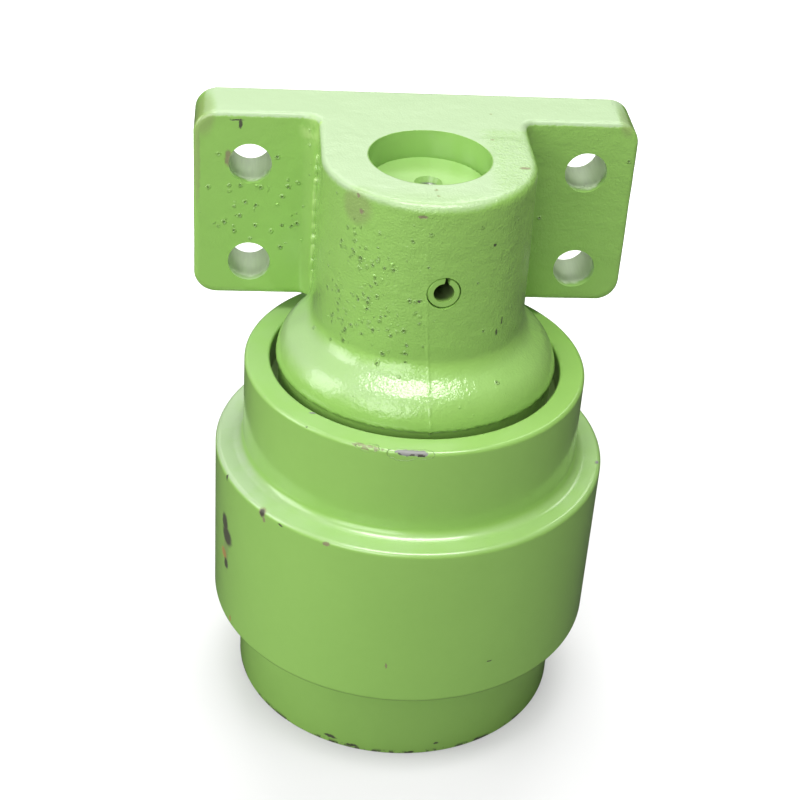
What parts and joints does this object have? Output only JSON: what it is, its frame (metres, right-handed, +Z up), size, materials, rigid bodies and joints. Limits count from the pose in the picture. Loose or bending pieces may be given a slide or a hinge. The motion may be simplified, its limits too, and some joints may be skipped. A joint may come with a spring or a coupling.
{
  "type": "carrier roller",
  "caption": "Green flanged track roller turning on a stub shaft that is pinned into a cast bracket with a bolt-on mounting plate and a bell-shaped seal guard.",
  "frame": {"origin": "on the roller's axis, at the free end face of the shell, where the part stands", "axes": "+Z up the roller's axis towards the bracket, +Y out of the bracket's mounting face, +X along the mounting plate"},
  "size_m": [0.2272, 0.205, 0.3096],
  "materials": {
    "cast_paint": "light green gloss paint over a sand casting",
    "shell_paint": "light green gloss paint over turned steel",
    "shaft_steel": "ground steel, painted green on the end face that shows",
    "pin_paint": "spring steel painted over with the bracket",
    "cover_paint": "light green gloss paint",
    "plug_steel": "zinc plated steel",
    "clip_steel": "oiled black spring steel",
    "soft_washer": "soft copper coloured sealing washer",
    "nut_steel": "phosphated steel",
    "washer_steel": "bright pressed steel",
    "seal_iron": "lapped hard cast iron",
    "black_rubber": "moulded black rubber",
    "bearing_steel": "ground and honed bearing steel",
    "cage_steel": "pressed sheet steel"
  },
  "bodies": {
    "bracket": {"bracket": "cast_paint", "spring_pin": "pin_paint", "shaft": "shaft_steel", "shaft_o_ring": "black_rubber", "seal_ring_fixed": "seal_iron", "seal_toric_fixed": "black_rubber", "inner_bearing_cone": "bearing_steel", "outer_bearing_cone": "bearing_steel", "tab_washer": "washer_steel", "lock_nut": "nut_steel"},
    "roller": {"roller_shell": "shell_paint", "seal_ring_turning": "seal_iron", "seal_toric_turning": "black_rubber", "inner_bearing_cup": "bearing_steel", "outer_bearing_cup": "bearing_steel", "end_cover": "cover_paint", "cover_o_ring": "black_rubber", "circlip": "clip_steel", "oil_plug": "plug_steel", "plug_washer": "soft_washer"},
    "inner_rollers": {"inner_bearing_rollers": "bearing_steel", "inner_bearing_cage": "cage_steel"},
    "outer_rollers": {"outer_bearing_rollers": "bearing_steel", "outer_bearing_cage": "cage_steel"}
  },
  "joints": [
    {"name": "shell_spin", "type": "hinge", "parent": "bracket", "child": "roller", "pos_m": [0, 0, 0.1], "axis": [0, 0, 1], "continuous": true},
    {"name": "inner_rollers_turn", "type": "hinge", "parent": "bracket", "child": "inner_rollers", "pos_m": [0, 0, 0.145], "axis": [0, 0, 1], "continuous": true},
    {"name": "outer_rollers_turn", "type": "hinge", "parent": "bracket", "child": "outer_rollers", "pos_m": [0, 0, 0.06], "axis": [0, 0, 1], "continuous": true}
  ],
  "couplings": [
    {"joint": "inner_rollers_turn", "follows": "shell_spin", "ratio": 0.57367},
    {"joint": "outer_rollers_turn", "follows": "shell_spin", "ratio": 0.57335}
  ]
}
